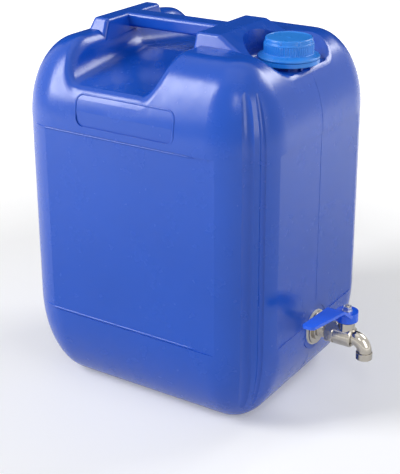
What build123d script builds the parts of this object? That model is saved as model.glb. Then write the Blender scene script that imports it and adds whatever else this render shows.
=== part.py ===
from build123d import *
import math
import os

# Stackable 20 litre canister with a screw cap and a quarter-turn ball tap.
# Millimetres. X runs along the wide front, the tap is on the +X end, +Z is up.
# The origin is the middle of the footprint, on the surface the canister stands on.

# ---- canister: blow-moulded body -------------------------------------------
WIDTH = 290.0
DEPTH = 255.0
CORNER_RADIUS = 56.0
WALL = 1.8
FOOT_INSET = 51.0
FOOT_HEIGHT = 94.0
FOOT_LAND = 1.5
FORM_TRIM = 0.1
SHOULDER_HEIGHT = 374.0
SHOULDER_INSET = 52.0
SHOULDER_DROP = 80.0

# shallow panels moulded into the four walls, and the label field on the front
PANEL_DEPTH = 1.0
PANEL_BOTTOM = 89.0
PANEL_BELOW_SHOULDER = 83.5
LABEL_WIDTH = 113.0
LABEL_HEIGHT = 31.0
LABEL_RADIUS = 8.0
LABEL_CENTRE_X = -3.0
LABEL_GAP_ABOVE_PANEL = 7.0
LABEL_DEPTH = 1.4

# stiffening groove moulded into the base
BASE_GROOVE_DEPTH = 3.0
BASE_GROOVE_MARGIN = 14.0
BASE_GROOVE_WIDTH = 26.0
BASE_GROOVE_DRAFT = 6.0
BASE_GROOVE_RADIUS = 25.0

# vertical flutes on the two corners beside the tap
FLUTE_ANGLES = (43.0, 58.0)
FLUTE_RADII = (9.0, 4.0)
FLUTE_DEPTHS = (2.2, 1.8)
FLUTE_TOP_TURN = 22.0
FLUTE_FOOT_TURN = 24.0
FLUTE_RUN_OUT = 24.0

# handle: two stacking lugs, a bar between them and a hand recess under the bar;
# the floor and rim radii are those before the crown is stretched to its height
GRIP_LENGTH = 105.0
GRIP_DEPTH = 24.0
GRIP_FLOOR_DROP = 0.128
GRIP_FLOOR_RADIUS = 16.0
GRIP_RIM_RADIUS = 12.0
LUG_HEIGHT = 11.5
LUG_ROOT_DEPTH = 22.0
LUG_HALF_LENGTH = 46.0
LUG_LEFT_WIDTH = 18.0
LUG_RIGHT_WIDTH = 27.0
LUG_END_SPLAY = 0.36
LUG_LEFT_SPLAY = 0.36
LUG_RIGHT_SPLAY = 1.9
LUG_EDGE_RADIUS = 4.0
BAR_HALF_DEPTH = 11.5
BAR_HEIGHT = 14.5
BAR_EDGE_RADIUS = 3.5
BAR_END_SINK = 4.0

# sloping shelf and round well that carry the neck
NECK_FROM_END = 40.0
SHELF_LENGTH = 91.0
SHELF_SLOPE = 0.34
SHELF_RAMP_LENGTH = 54.0
SHELF_FLAT_SLOPE = 0.04
SHELF_BEND_RADIUS = 60.0
SHELF_HALF_WIDTH = 60.0
SHELF_EDGE_RADIUS = 24.0
SHELF_RIM_RADIUS = 12.0
WELL_FINGER_ROOM = 14.0
WELL_DEPTH = 21.0
WELL_EDGE_RADIUS = 5.0

# ---- neck, cap and tamper ring ----------------------------------------------
NECK_OUTER_RADIUS = 20.2
NECK_WALL = 3.4
NECK_HEIGHT = 24.0
NECK_LIP_RADIUS = 0.8
NECK_BEAD_WIDTH = 2.8
NECK_BEAD_HEIGHT = 2.0
NECK_BEAD_CHAMFER = 1.2
NECK_LUG_COUNT = 12
NECK_LUG_WIDTH = 1.6
NECK_LUG_REACH = 4.4
NECK_LUG_HEIGHT = 3.8

CAP_HEIGHT = 19.8
CAP_THREAD_ROOM = 1.8
CAP_WALL = 2.4
CAP_TOP_THICKNESS = 2.6
CAP_CHAMFER = 3.0
CAP_CHAMFER_WIDTH = 2.0
CAP_FLANGE_WIDTH = 6.1
CAP_FLANGE_HEIGHT = 4.6
CAP_FLANGE_RIM = 2.1
CAP_FLANGE_HOLLOW = 1.4
CAP_FLANGE_ROOT = 1.0
CAP_RIB_COUNT = 60
CAP_RIB_RADIUS = 0.55
CAP_RIB_SINK = 0.25
CAP_RIB_OVERLAP = 0.4
CAP_RIM_WIDTH = 1.6
CAP_RIM_DEPTH = 0.7
LINER_THICKNESS = 2.0
LINER_CLEARANCE = 0.4

RING_HEIGHT = 4.0
RING_GAP = 0.4
RING_WALL = 2.0
RING_HOOK_CLEARANCE = 0.3

# ---- ball tap ----------------------------------------------------------------
TAP_Z = 79.0
PAD_SINK = 1.5
PAD_THICKNESS = 4.4
PAD_RADIUS = 24.0
HOLE_CLEARANCE = 0.3
SHANK_CHAMFER = 0.8
WATERWAY_RADIUS = 4.0
SHANK_RADIUS = 8.3
SHANK_PAST_NUT = 4.1
WASHER_THICKNESS = 1.8
WASHER_WIDTH = 10.5
FLANGE_WIDTH = 9.3
FLANGE_THICKNESS = 2.4
FLANGE_HUB_WIDTH = 4.3
FLANGE_HUB_LENGTH = 2.8
FLANGE_CHAMFER = 0.5
GASKET_THICKNESS = 2.0
GASKET_WIDTH = 6.7
BACKNUT_WALL = 3.7
BACKNUT_THICKNESS = 6.0
HEX_GAP = 9.5
HEX_LENGTH = 9.0
HEX_WALL = 2.7
HEX_CORNER_LOSS = 0.3
THREAD_CLEARANCE = 0.05

BALL_RADIUS = 7.5
BALL_CLEARANCE = 0.05
SEAT_OVERLAP = 2.9
SEAT_LENGTH = 2.4
SEAT_RADIUS_OVER_BALL = 0.5
SEAT_CLEARANCE = 0.02
NOSE_LENGTH = 4.0
BODY_WALL = 3.2
BODY_PAST_SEAT = 1.5
BODY_ROUND = 3.0
BOSS_WALL = 2.2
BOSS_ABOVE_BALL = 8.5
SPOUT_WALL = 2.9
ELBOW_WALL = 3.6
SPOUT_BEND = 12.5
SPOUT_STRAIGHT = 5.6

STEM_COLLAR_RADIUS = 5.0
STEM_COLLAR_GAP = 0.6
STEM_COLLAR_HEIGHT = 1.8
STEM_RADIUS = 3.4
STEM_FIT = 0.05
STEM_SQUARE = 4.8
STEM_THREAD_RADIUS = 2.4
STEM_THREAD_LENGTH = 6.0
STEM_THREAD_CHAMFER = 0.4
TANG_THICKNESS = 3.0
TANG_LENGTH = 8.0
TANG_DEPTH = 3.1
PACKING_HEIGHT = 2.4
GLAND_PLUG_WALL = 3.0
GLAND_ACROSS_FLATS = 13.0
GLAND_HEAD_HEIGHT = 2.6

LEVER_THICKNESS = 3.0
LEVER_HUB_RADIUS = 11.4
LEVER_HUB_WALL = 2.0
LEVER_HUB_HEIGHT = 10.0
LEVER_HUB_GAP = 2.0
LEVER_SINK = 0.5
LEVER_BEND_RADIUS = 5.0
LEVER_TIP_CORNER = 3.0
LEVER_LENGTH = 88.0
LEVER_ROOT_Y = 26.0
LEVER_ROOT_RISE = 11.0
LEVER_TIP_RISE = 19.0
LEVER_ROOT_WIDTH = 19.0
LEVER_TIP_WIDTH = 13.0
LEVER_NUT_ACROSS_FLATS = 8.0
LEVER_NUT_HEIGHT = 4.2
LEVER_WASHER_THICKNESS = 1.0
LEVER_WASHER_RADIUS = 5.0

COLLAR_WALL = 1.6
COLLAR_HEIGHT = 7.6
COLLAR_CHAMFER = 0.5
COLLAR_LIP = 1.2
COLLAR_LIP_WIDTH = 1.6
OUTLET_WASHER_THICKNESS = 1.2

BIG = 600.0
TOUCH = 0.1

# ---- places that follow from the sizes above --------------------------------------
PANEL_TOP = SHOULDER_HEIGHT - PANEL_BELOW_SHOULDER
NECK_X = WIDTH / 2 - NECK_FROM_END
SHELF_START_X = WIDTH / 2 - SHELF_LENGTH
GRIP_RIGHT = SHELF_START_X - LUG_RIGHT_WIDTH
GRIP_LEFT = GRIP_RIGHT - GRIP_LENGTH
BAR_TOP = SHOULDER_HEIGHT + LUG_HEIGHT
BAR_BOTTOM = BAR_TOP - BAR_HEIGHT
WELL_FLOOR = SHOULDER_HEIGHT - WELL_DEPTH
NECK_TOP = WELL_FLOOR + NECK_HEIGHT
NECK_BORE_RADIUS = NECK_OUTER_RADIUS - NECK_WALL
CAP_INNER_RADIUS = NECK_OUTER_RADIUS + CAP_THREAD_ROOM
CAP_OUTER_RADIUS = CAP_INNER_RADIUS + CAP_WALL
CAP_DISC_RADIUS = CAP_OUTER_RADIUS - CAP_CHAMFER_WIDTH
CAP_FLANGE_RADIUS = CAP_OUTER_RADIUS + CAP_FLANGE_WIDTH
WELL_RADIUS = CAP_FLANGE_RADIUS + WELL_FINGER_ROOM
CAP_TOP = NECK_TOP + LINER_THICKNESS + CAP_TOP_THICKNESS
CAP_BOTTOM = CAP_TOP - CAP_HEIGHT
RING_TOP = CAP_BOTTOM - RING_GAP
PAD_FACE_X = WIDTH / 2 - PAD_SINK
PAD_BACK_X = PAD_FACE_X - PAD_THICKNESS
BACKNUT_FACE_X = PAD_BACK_X - GASKET_THICKNESS
SHANK_INNER_END_X = BACKNUT_FACE_X - BACKNUT_THICKNESS - SHANK_PAST_NUT
HUB_END_X = PAD_FACE_X + WASHER_THICKNESS + FLANGE_THICKNESS + FLANGE_HUB_LENGTH
HEX_START_X = HUB_END_X + HEX_GAP
HEX_END_X = HEX_START_X + HEX_LENGTH
SEAT_RADIUS = BALL_RADIUS + SEAT_RADIUS_OVER_BALL
SEAT_INNER_OFFSET = BALL_RADIUS - SEAT_OVERLAP
SEAT_OUTER_OFFSET = SEAT_INNER_OFFSET + SEAT_LENGTH
BALL_X = HEX_END_X + NOSE_LENGTH + SEAT_OUTER_OFFSET
BODY_RADIUS = SEAT_RADIUS + BODY_WALL
BODY_END_X = BALL_X + SEAT_OUTER_OFFSET + BODY_PAST_SEAT
SPOUT_RADIUS = WATERWAY_RADIUS + SPOUT_WALL
OUTLET_X = BODY_END_X + SPOUT_BEND
OUTLET_Z = TAP_Z - SPOUT_BEND - SPOUT_STRAIGHT
COLLAR_Z = TAP_Z + BALL_RADIUS + STEM_COLLAR_GAP
PACKING_Z = COLLAR_Z + STEM_COLLAR_HEIGHT + STEM_FIT
GLAND_Z = PACKING_Z + PACKING_HEIGHT
BOSS_TOP_Z = TAP_Z + BALL_RADIUS + BOSS_ABOVE_BALL
GLAND_PLUG_RADIUS = STEM_RADIUS + GLAND_PLUG_WALL
BOSS_RADIUS = GLAND_PLUG_RADIUS + BOSS_WALL
LEVER_HUB_Z = BOSS_TOP_Z + LEVER_HUB_GAP
LEVER_TOP_Z = LEVER_HUB_Z + LEVER_HUB_HEIGHT


def save(shape, name):
    """Write one piece to its own STEP file."""
    export_step(shape, "parts/" + name + ".step")


def block(x0, x1, y0, y1, z0, z1):
    """Box from its two corners."""
    return Pos((x0 + x1) / 2, (y0 + y1) / 2, (z0 + z1) / 2) * Box(x1 - x0, y1 - y0, z1 - z0)


def rod_x(radius, x0, x1):
    """Cylinder along X on the tap's axis."""
    return Pos((x0 + x1) / 2, 0, TAP_Z) * Rot(0, 90, 0) * Cylinder(radius, x1 - x0)


def rod_z(radius, z0, z1, x=0.0, y=0.0):
    """Upright cylinder."""
    return Pos(x, y, (z0 + z1) / 2) * Cylinder(radius, z1 - z0)


def ring_x(outer, inner, x0, x1):
    """Ring along X on the tap's axis."""
    return rod_x(outer, x0, x1) - rod_x(inner, 0, BIG)


def ring_z(outer, inner, z0, z1, x=0.0):
    """Upright ring."""
    return rod_z(outer, z0, z1, x) - rod_z(inner, z0 - TOUCH, z1 + TOUCH, x)


def hexagon_x(across_flats, x0, x1):
    """Hexagonal bar along X with its corners turned off at both ends."""
    section = RegularPolygon(across_flats / 2, 6, major_radius=False)
    bar = Pos(x0, 0, TAP_Z) * Rot(0, 90, 0) * extrude(section, x1 - x0)
    across_corners = across_flats / math.cos(math.radians(30))
    round_bar = rod_x(across_corners / 2 - HEX_CORNER_LOSS, x0, x1)
    return bar & chamfer(round_bar.edges(), 2 * HEX_CORNER_LOSS)


def hexagon_z(across_flats, z0, z1, x):
    """Upright hexagonal bar."""
    section = RegularPolygon(across_flats / 2, 6, major_radius=False)
    return Pos(x, 0, z0) * extrude(section, z1 - z0)


# ---- canister ------------------------------------------------------------------
# The foot and the crown are modelled with round corners and then stretched upwards,
# which makes their rims quarter ellipses.


def outline(inset):
    """Plan of the body, in from its outside by inset."""
    return RectangleRounded(WIDTH - 2 * inset, DEPTH - 2 * inset, CORNER_RADIUS - inset)


def foot_form(inset):
    """Lower part, with its rim a quarter ellipse, trimmed flat underneath."""
    radius = FOOT_INSET - inset
    drum = extrude(outline(inset), radius + FOOT_LAND)
    drum = fillet(drum.faces().sort_by(Axis.Z)[0].edges(), radius)
    stretch = (FOOT_HEIGHT - inset) / radius
    foot = Pos(0, 0, inset - FORM_TRIM) * scale(drum, by=(1, 1, stretch))
    return foot - block(-BIG, BIG, -BIG, BIG, -BIG, inset)


def hand_recess(grow, stretch):
    """Channel from front to back between the lugs; its floor falls to both ends."""
    reach = DEPTH / 2 + FOOT_INSET
    floor = (SHOULDER_DROP - GRIP_DEPTH - grow) / stretch
    low = floor - GRIP_FLOOR_DROP * reach / stretch
    profile = Polyline((-reach, low), (0, floor), (reach, low), (reach, BIG), (-reach, BIG), close=True)
    channel = Pos(GRIP_LEFT - grow, 0, 0) * extrude(Plane.YZ * make_face(profile), GRIP_LENGTH + 2 * grow)
    sides = channel.faces().filter_by(Axis.X)
    bottoms = [edge for side in sides for edge in side.edges() if edge.center().Z < floor + TOUCH]
    return fillet(bottoms, GRIP_FLOOR_RADIUS + grow)


def recess_rim(crown, grow):
    """Edges where the hand recess meets the outside of the crown."""
    top = crown.bounding_box().max.Z
    rim = []
    for edge in crown.edges():
        box = edge.bounding_box()
        beside = box.min.X < GRIP_LEFT - grow - TOUCH or box.max.X > GRIP_RIGHT + grow + TOUCH
        outside = box.max.Z > top - TOUCH or abs(edge.center().Y) > DEPTH / 2 - CORNER_RADIUS / 2
        if outside and not beside and box.min.Z > TOUCH:
            rim.append(edge)
    return rim


def neck_shelf(grow, stretch):
    """Ramp from the right lug down to a nearly level shelf that runs out at the end wall."""
    start = SHELF_START_X - grow
    bend = start + SHELF_RAMP_LENGTH
    end = bend + SHELF_LENGTH
    z_start = (SHOULDER_DROP - grow) / stretch
    z_bend = z_start - SHELF_SLOPE * SHELF_RAMP_LENGTH / stretch
    z_end = z_bend - SHELF_FLAT_SLOPE * SHELF_LENGTH / stretch
    profile = Polyline((start, z_start), (bend, z_bend), (end, z_end), (end, BIG), (start, BIG), close=True)
    half = SHELF_HALF_WIDTH + grow
    wedge = extrude(Plane.XZ * make_face(profile), half, both=True)
    crease = wedge.edges().filter_by(Axis.Y).filter_by_position(Axis.X, bend - TOUCH, bend + TOUCH)
    wedge = fillet(crease, SHELF_BEND_RADIUS)
    sides = wedge.faces().filter_by(Axis.Y)
    bottoms = [edge for side in sides for edge in side.edges()
               if edge.center().Z < z_start and edge.bounding_box().size.X > TOUCH]
    return fillet(bottoms, SHELF_EDGE_RADIUS)


def shelf_rim(crown):
    """Edges where the shelf runs out through the rounded shoulders."""
    rounded = crown.edges().filter_by(GeomType.BSPLINE).filter_by_position(Axis.X, SHELF_START_X, WIDTH)
    across = crown.edges().filter_by(Axis.Y).filter_by_position(Axis.Z, TOUCH, BIG)
    return rounded + across.sort_by(Axis.X)[-1:]


def crown_form(inset):
    """Upper part: rounded shoulders, hand recess and shelf, stretched upwards."""
    radius = SHOULDER_INSET - inset
    stretch = (SHOULDER_DROP - inset) / radius
    drum = Pos(0, 0, -FOOT_LAND) * extrude(outline(inset), radius + FOOT_LAND)
    crown = fillet(drum.faces().sort_by(Axis.Z)[-1].edges(), radius)
    crown = crown - hand_recess(inset, stretch)
    crown = fillet(recess_rim(crown, inset), GRIP_RIM_RADIUS - inset)
    crown = crown - neck_shelf(inset, stretch)
    crown = fillet(shelf_rim(crown), SHELF_RIM_RADIUS - inset)
    return Pos(0, 0, SHOULDER_HEIGHT - SHOULDER_DROP) * scale(crown, by=(1, 1, stretch))


def stacking_lugs(inset):
    """Two ridges beside the grip, with sloped ends and outer sides; the right one runs down the ramp."""
    top = BAR_TOP - inset
    root = SHOULDER_HEIGHT - LUG_ROOT_DEPTH
    drop = top - root
    half = LUG_HALF_LENGTH - inset
    lugs = []
    for inner, width, side, splay in ((GRIP_LEFT, LUG_LEFT_WIDTH, -1, LUG_LEFT_SPLAY),
                                      (GRIP_RIGHT, LUG_RIGHT_WIDTH, 1, LUG_RIGHT_SPLAY)):
        edge = inner + side * inset
        narrow = width - 2 * inset
        wide = narrow + splay * drop
        upper = Pos(edge + side * narrow / 2, 0, top) * Rectangle(narrow, 2 * half)
        lower = Pos(edge + side * wide / 2, 0, root) * Rectangle(wide, 2 * half + 2 * LUG_END_SPLAY * drop)
        lug = loft([lower, upper])
        if inset == 0:
            rim = [e for e in lug.edges() if e.center().Z > root + LUG_EDGE_RADIUS / 2]
            lug = fillet(rim, LUG_EDGE_RADIUS)
        lugs.append(lug)
    return lugs


def neck_well(grow):
    """Round well about the neck."""
    well = rod_z(WELL_RADIUS + grow, WELL_FLOOR - grow, BIG, NECK_X)
    return fillet(well.edges().sort_by(Axis.Z)[0], WELL_EDGE_RADIUS + grow)


def grip_bar():
    """Bar between the lugs, ending inside them."""
    bar = block(GRIP_LEFT - BAR_END_SINK, GRIP_RIGHT + BAR_END_SINK, -BAR_HALF_DEPTH, BAR_HALF_DEPTH,
                BAR_BOTTOM, BAR_TOP)
    return fillet(bar.edges().filter_by(Axis.X), BAR_EDGE_RADIUS)


def wall_form(inset):
    """Body form at a given inset: the outside at zero, the hollow at the wall thickness."""
    foot = foot_form(inset)
    foot_top = foot.bounding_box().max.Z
    crown = crown_form(inset)
    crown_start = crown.bounding_box().min.Z
    middle = Pos(0, 0, foot_top) * extrude(outline(inset), crown_start - foot_top)
    form = foot + middle + crown
    for lug in stacking_lugs(inset):
        form = form + lug
    return form - neck_well(inset)


def wall_panels():
    """Slabs that sink the flat of each wall a little, fading out at the corners."""
    slabs = []
    for side in (-1, 1):
        y = side * (DEPTH / 2 - PANEL_DEPTH)
        x = side * (WIDTH / 2 - PANEL_DEPTH)
        slabs.append(block(-WIDTH, WIDTH, min(y, side * WIDTH), max(y, side * WIDTH),
                           PANEL_BOTTOM, PANEL_TOP))
        slabs.append(block(min(x, side * WIDTH), max(x, side * WIDTH), -DEPTH, DEPTH,
                           PANEL_BOTTOM, PANEL_TOP))
    return slabs


def label_field(grow):
    """Rounded rectangle sunk into the front above the panel."""
    face = RectangleRounded(LABEL_WIDTH + 2 * grow, LABEL_HEIGHT + 2 * grow, LABEL_RADIUS + grow)
    z = PANEL_TOP + LABEL_GAP_ABOVE_PANEL + LABEL_HEIGHT / 2
    return Pos(LABEL_CENTRE_X, -DEPTH / 2 + LABEL_DEPTH + grow, z) * Rot(90, 0, 0) * extrude(face, FOOT_INSET)


def flute_path(offset_out):
    """Line up a corner at a distance outside it: foot arc, straight, shoulder arc, run-out."""
    foot_radius = FOOT_HEIGHT ** 2 / FOOT_INSET + offset_out
    shoulder_radius = SHOULDER_DROP ** 2 / SHOULDER_INSET + offset_out
    reach = CORNER_RADIUS + offset_out
    foot_turn = math.radians(FLUTE_FOOT_TURN)
    top_turn = math.radians(FLUTE_TOP_TURN)
    low = (reach, FOOT_HEIGHT)
    high = (reach, SHOULDER_HEIGHT - SHOULDER_DROP)
    start = (reach - foot_radius * (1 - math.cos(foot_turn)), FOOT_HEIGHT - foot_radius * math.sin(foot_turn))
    end = (reach - shoulder_radius * (1 - math.cos(top_turn)), high[1] + shoulder_radius * math.sin(top_turn))
    tip = (end[0] - FLUTE_RUN_OUT * math.sin(top_turn), end[1] + FLUTE_RUN_OUT * math.cos(top_turn))
    foot = TangentArc(low, start, tangent=(0, -1))
    shoulder = TangentArc(high, end, tangent=(0, 1))
    return Wire([foot, Line(low, high), shoulder, Line(end, tip)]), start, foot_turn


def corner_flutes(grow):
    """Round-bottomed flutes up the two corners by the tap, at angles measured from the wide walls."""
    flutes = []
    for angle, radius, depth in zip(FLUTE_ANGLES, FLUTE_RADII, FLUTE_DEPTHS):
        path, start, turn = flute_path(radius - depth)
        side_view = Plane(origin=(0, 0, 0), x_dir=(1, 0, 0), z_dir=(0, -1, 0))
        section = Plane(origin=(start[0], 0, start[1]), z_dir=(math.sin(turn), 0, math.cos(turn)))
        flute = sweep(section * Circle(radius + grow), path=side_view * path)
        for side in (-1, 1):
            corner = Pos(WIDTH / 2 - CORNER_RADIUS, side * (DEPTH / 2 - CORNER_RADIUS), 0)
            flutes.append(corner * Rot(0, 0, side * (90 - angle)) * flute)
    return flutes


def base_pan(margin, draft):
    """Rounded rectangle in the base, in from its flat by margin, narrowed upwards by draft."""
    width = WIDTH - 2 * (FOOT_INSET + margin)
    depth = DEPTH - 2 * (FOOT_INSET + margin)
    low = RectangleRounded(width, depth, BASE_GROOVE_RADIUS)
    high = RectangleRounded(width - 2 * draft, depth - 2 * draft, BASE_GROOVE_RADIUS)
    return loft([low, Pos(0, 0, BASE_GROOVE_DEPTH) * high])


def base_groove():
    """Groove between two drafted rectangles, leaving the middle of the base flat."""
    island = base_pan(BASE_GROOVE_MARGIN + BASE_GROOVE_WIDTH, -BASE_GROOVE_DRAFT)
    return base_pan(BASE_GROOVE_MARGIN, BASE_GROOVE_DRAFT) - island


def neck_spigot():
    """Neck with its tamper bead, and a ring of small lugs at its foot."""
    foot = WELL_FLOOR - WALL / 2
    neck = rod_z(NECK_OUTER_RADIUS, foot, NECK_TOP, NECK_X)
    neck = fillet(neck.edges().sort_by(Axis.Z)[-1], NECK_LIP_RADIUS)
    bead = rod_z(NECK_OUTER_RADIUS + NECK_BEAD_WIDTH, RING_TOP - NECK_BEAD_HEIGHT, RING_TOP, NECK_X)
    neck = neck + chamfer(bead.edges().sort_by(Axis.Z)[-1], NECK_BEAD_CHAMFER)
    lug = block(NECK_OUTER_RADIUS - NECK_WALL / 2, NECK_OUTER_RADIUS + NECK_LUG_REACH, -NECK_LUG_WIDTH / 2,
                NECK_LUG_WIDTH / 2, foot, WELL_FLOOR + NECK_LUG_HEIGHT)
    for index in range(NECK_LUG_COUNT):
        neck = neck + Pos(NECK_X, 0, 0) * Rot(0, 0, index * 360 / NECK_LUG_COUNT) * lug
    return neck


def tap_pad():
    """Flat round seat for the tap, thicker than the wall about it."""
    return rod_x(PAD_RADIUS, PAD_BACK_X, PAD_FACE_X)


def container():
    """One blow moulding: body, lugs, bar, neck and tap seat."""
    outer = wall_form(0)
    for slab in wall_panels():
        outer = outer - slab
    outer = outer - label_field(0) - base_groove()
    for flute in corner_flutes(0):
        outer = outer - flute
    outer = outer - rod_x(PAD_RADIUS, PAD_FACE_X, BIG)
    outer = outer + tap_pad()
    hollow = wall_form(WALL + PANEL_DEPTH) - label_field(WALL)
    for flute in corner_flutes(WALL):
        hollow = hollow - flute
    hollow = hollow - block(-BIG, BIG, -BIG, BIG, 0, BASE_GROOVE_DEPTH + WALL)
    hollow = hollow - rod_x(PAD_RADIUS + WALL, PAD_BACK_X, BIG)
    shell = outer - hollow
    shell = shell + grip_bar() + neck_spigot()
    shell = shell - rod_z(NECK_BORE_RADIUS, WELL_FLOOR - WELL_DEPTH, BIG, NECK_X)
    return shell - rod_x(SHANK_RADIUS + HOLE_CLEARANCE, PAD_BACK_X - PAD_RADIUS, BIG)


# ---- closure ---------------------------------------------------------------------


def cap_shell():
    """Ribbed screw cap with a wide flange, open downwards."""
    body = rod_z(CAP_OUTER_RADIUS, CAP_BOTTOM, CAP_TOP, NECK_X)
    body = chamfer(body.edges().sort_by(Axis.Z)[-1], CAP_CHAMFER, CAP_CHAMFER_WIDTH)
    flange = Pos(NECK_X, 0, CAP_BOTTOM) * Cone(CAP_FLANGE_RADIUS, CAP_OUTER_RADIUS + CAP_FLANGE_ROOT,
                                               CAP_FLANGE_HEIGHT, align=(Align.CENTER, Align.CENTER, Align.MIN))
    rim = rod_z(CAP_FLANGE_RADIUS, CAP_BOTTOM, CAP_BOTTOM + CAP_FLANGE_RIM, NECK_X)
    cap = body + flange + rim
    cap = cap - rod_z(CAP_INNER_RADIUS, 0, CAP_TOP - CAP_TOP_THICKNESS, NECK_X)
    hollow_top = CAP_BOTTOM + CAP_FLANGE_HOLLOW
    cap = cap - ring_z(CAP_FLANGE_RADIUS - RING_WALL, CAP_OUTER_RADIUS, 0, hollow_top, NECK_X)
    cap = cap - rod_z(CAP_DISC_RADIUS - CAP_RIM_WIDTH, CAP_TOP - CAP_RIM_DEPTH, BIG, NECK_X)
    rib_top = CAP_TOP - CAP_CHAMFER - CAP_RIB_OVERLAP
    rib_foot = CAP_BOTTOM + CAP_FLANGE_HEIGHT - CAP_RIB_OVERLAP
    rib = rod_z(CAP_RIB_RADIUS, rib_foot, rib_top, CAP_OUTER_RADIUS - CAP_RIB_SINK)
    ribs = [Pos(NECK_X, 0, 0) * Rot(0, 0, index * 360 / CAP_RIB_COUNT) * rib for index in range(CAP_RIB_COUNT)]
    return cap + ribs


def cap_liner():
    """Soft sealing disc between the cap's top and the neck's mouth."""
    return rod_z(CAP_INNER_RADIUS - LINER_CLEARANCE, NECK_TOP, NECK_TOP + LINER_THICKNESS, NECK_X)


def tamper_ring():
    """Ring left on the neck under its bead when the cap is first unscrewed."""
    low = RING_TOP - RING_HEIGHT
    hook_top = RING_TOP - NECK_BEAD_HEIGHT - RING_HOOK_CLEARANCE
    band = ring_z(CAP_FLANGE_RADIUS, CAP_FLANGE_RADIUS - RING_WALL, low, RING_TOP, NECK_X)
    inner = NECK_OUTER_RADIUS + RING_HOOK_CLEARANCE
    return band + ring_z(CAP_FLANGE_RADIUS - RING_WALL / 2, inner, low, hook_top, NECK_X)


# ---- tap -------------------------------------------------------------------------


def tap_washer():
    """Pale sealing washer between the wall and the flanged nut."""
    return ring_x(SHANK_RADIUS + WASHER_WIDTH, SHANK_RADIUS, PAD_FACE_X, PAD_FACE_X + WASHER_THICKNESS)


def tap_flange_nut():
    """Round flanged nut outside the wall."""
    start = PAD_FACE_X + WASHER_THICKNESS
    flange = rod_x(SHANK_RADIUS + FLANGE_WIDTH, start, start + FLANGE_THICKNESS)
    flange = chamfer(flange.edges().sort_by(Axis.X)[-1], FLANGE_CHAMFER)
    hub = rod_x(SHANK_RADIUS + FLANGE_HUB_WIDTH, start, HUB_END_X)
    hub = chamfer(hub.edges().sort_by(Axis.X)[-1], FLANGE_CHAMFER)
    return flange + hub - rod_x(SHANK_RADIUS, 0, BIG)


def tap_gasket():
    """Rubber gasket inside the wall."""
    return ring_x(SHANK_RADIUS + GASKET_WIDTH, SHANK_RADIUS, BACKNUT_FACE_X, PAD_BACK_X)


def tap_backnut():
    """Hexagonal nut inside the wall."""
    across_flats = 2 * (SHANK_RADIUS + BACKNUT_WALL)
    nut = hexagon_x(across_flats, BACKNUT_FACE_X - BACKNUT_THICKNESS, BACKNUT_FACE_X)
    return nut - rod_x(SHANK_RADIUS, 0, BIG)


def tap_inlet():
    """Threaded shank through the wall, its hexagon, and the nose that holds the inlet seat."""
    shank = rod_x(SHANK_RADIUS, SHANK_INNER_END_X, HEX_START_X)
    shank = chamfer(shank.edges().sort_by(Axis.X)[0], SHANK_CHAMFER)
    inlet = shank + hexagon_x(2 * (SHANK_RADIUS + HEX_WALL), HEX_START_X, HEX_END_X)
    inlet = inlet + rod_x(SEAT_RADIUS, HEX_END_X, BALL_X - SEAT_OUTER_OFFSET)
    return inlet - rod_x(WATERWAY_RADIUS, 0, BIG)


def elbow_rod(radius):
    """Round bar along the elbow's centre line: level, then round a quarter bend."""
    bend_start = (BODY_END_X, 0, TAP_Z)
    level = Line((BODY_END_X - 2 * BODY_ROUND, 0, TAP_Z), bend_start)
    bend = TangentArc(bend_start, (OUTLET_X, 0, TAP_Z - SPOUT_BEND), tangent=(1, 0, 0))
    path = level + bend
    return sweep(Plane(origin=path @ 0, z_dir=path % 0) * Circle(radius), path=path)


def tap_body():
    """Brass casting: ball chamber, boss for the stem, elbow, and a plain end for the collar."""
    chamber = rod_x(BODY_RADIUS, HEX_END_X, BODY_END_X)
    chamber = fillet(chamber.edges().sort_by(Axis.X)[-1], BODY_ROUND)
    body = chamber + rod_z(BOSS_RADIUS, TAP_Z, BOSS_TOP_Z, BALL_X) + elbow_rod(WATERWAY_RADIUS + ELBOW_WALL)
    body = body + rod_z(SPOUT_RADIUS, OUTLET_Z, TAP_Z - SPOUT_BEND, OUTLET_X)
    body = body - rod_x(SEAT_RADIUS, 0, BALL_X + SEAT_OUTER_OFFSET) - rod_x(WATERWAY_RADIUS, 0, BODY_END_X)
    body = body - elbow_rod(WATERWAY_RADIUS) - rod_z(WATERWAY_RADIUS, 0, TAP_Z - SPOUT_BEND, OUTLET_X)
    body = body - rod_z(STEM_COLLAR_RADIUS + STEM_FIT, TAP_Z, GLAND_Z, BALL_X)
    return body - rod_z(GLAND_PLUG_RADIUS, GLAND_Z, BIG, BALL_X)


def ball_seat(side):
    """Plastic ring that the ball seals on; side is -1 at the inlet and 1 at the outlet."""
    low, high = sorted((BALL_X + side * SEAT_INNER_OFFSET, BALL_X + side * SEAT_OUTER_OFFSET))
    pocket = Rot(0, 0, 90) * Sphere(BALL_RADIUS + BALL_CLEARANCE)
    return ring_x(SEAT_RADIUS - SEAT_CLEARANCE, WATERWAY_RADIUS, low, high) - Pos(BALL_X, 0, TAP_Z) * pocket


def tap_ball():
    """Ball with a through bore, across the flow while shut, and a slot for the stem."""
    ball = Pos(BALL_X, 0, TAP_Z) * Sphere(BALL_RADIUS)
    bore = Pos(BALL_X, 0, TAP_Z) * Rot(90, 0, 0) * Cylinder(WATERWAY_RADIUS, 4 * BALL_RADIUS)
    half = TANG_THICKNESS / 2 + STEM_FIT
    slot = block(BALL_X - half, BALL_X + half, -BIG, BIG, COLLAR_Z - TANG_DEPTH - STEM_FIT, BIG)
    return ball - bore - slot


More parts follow.
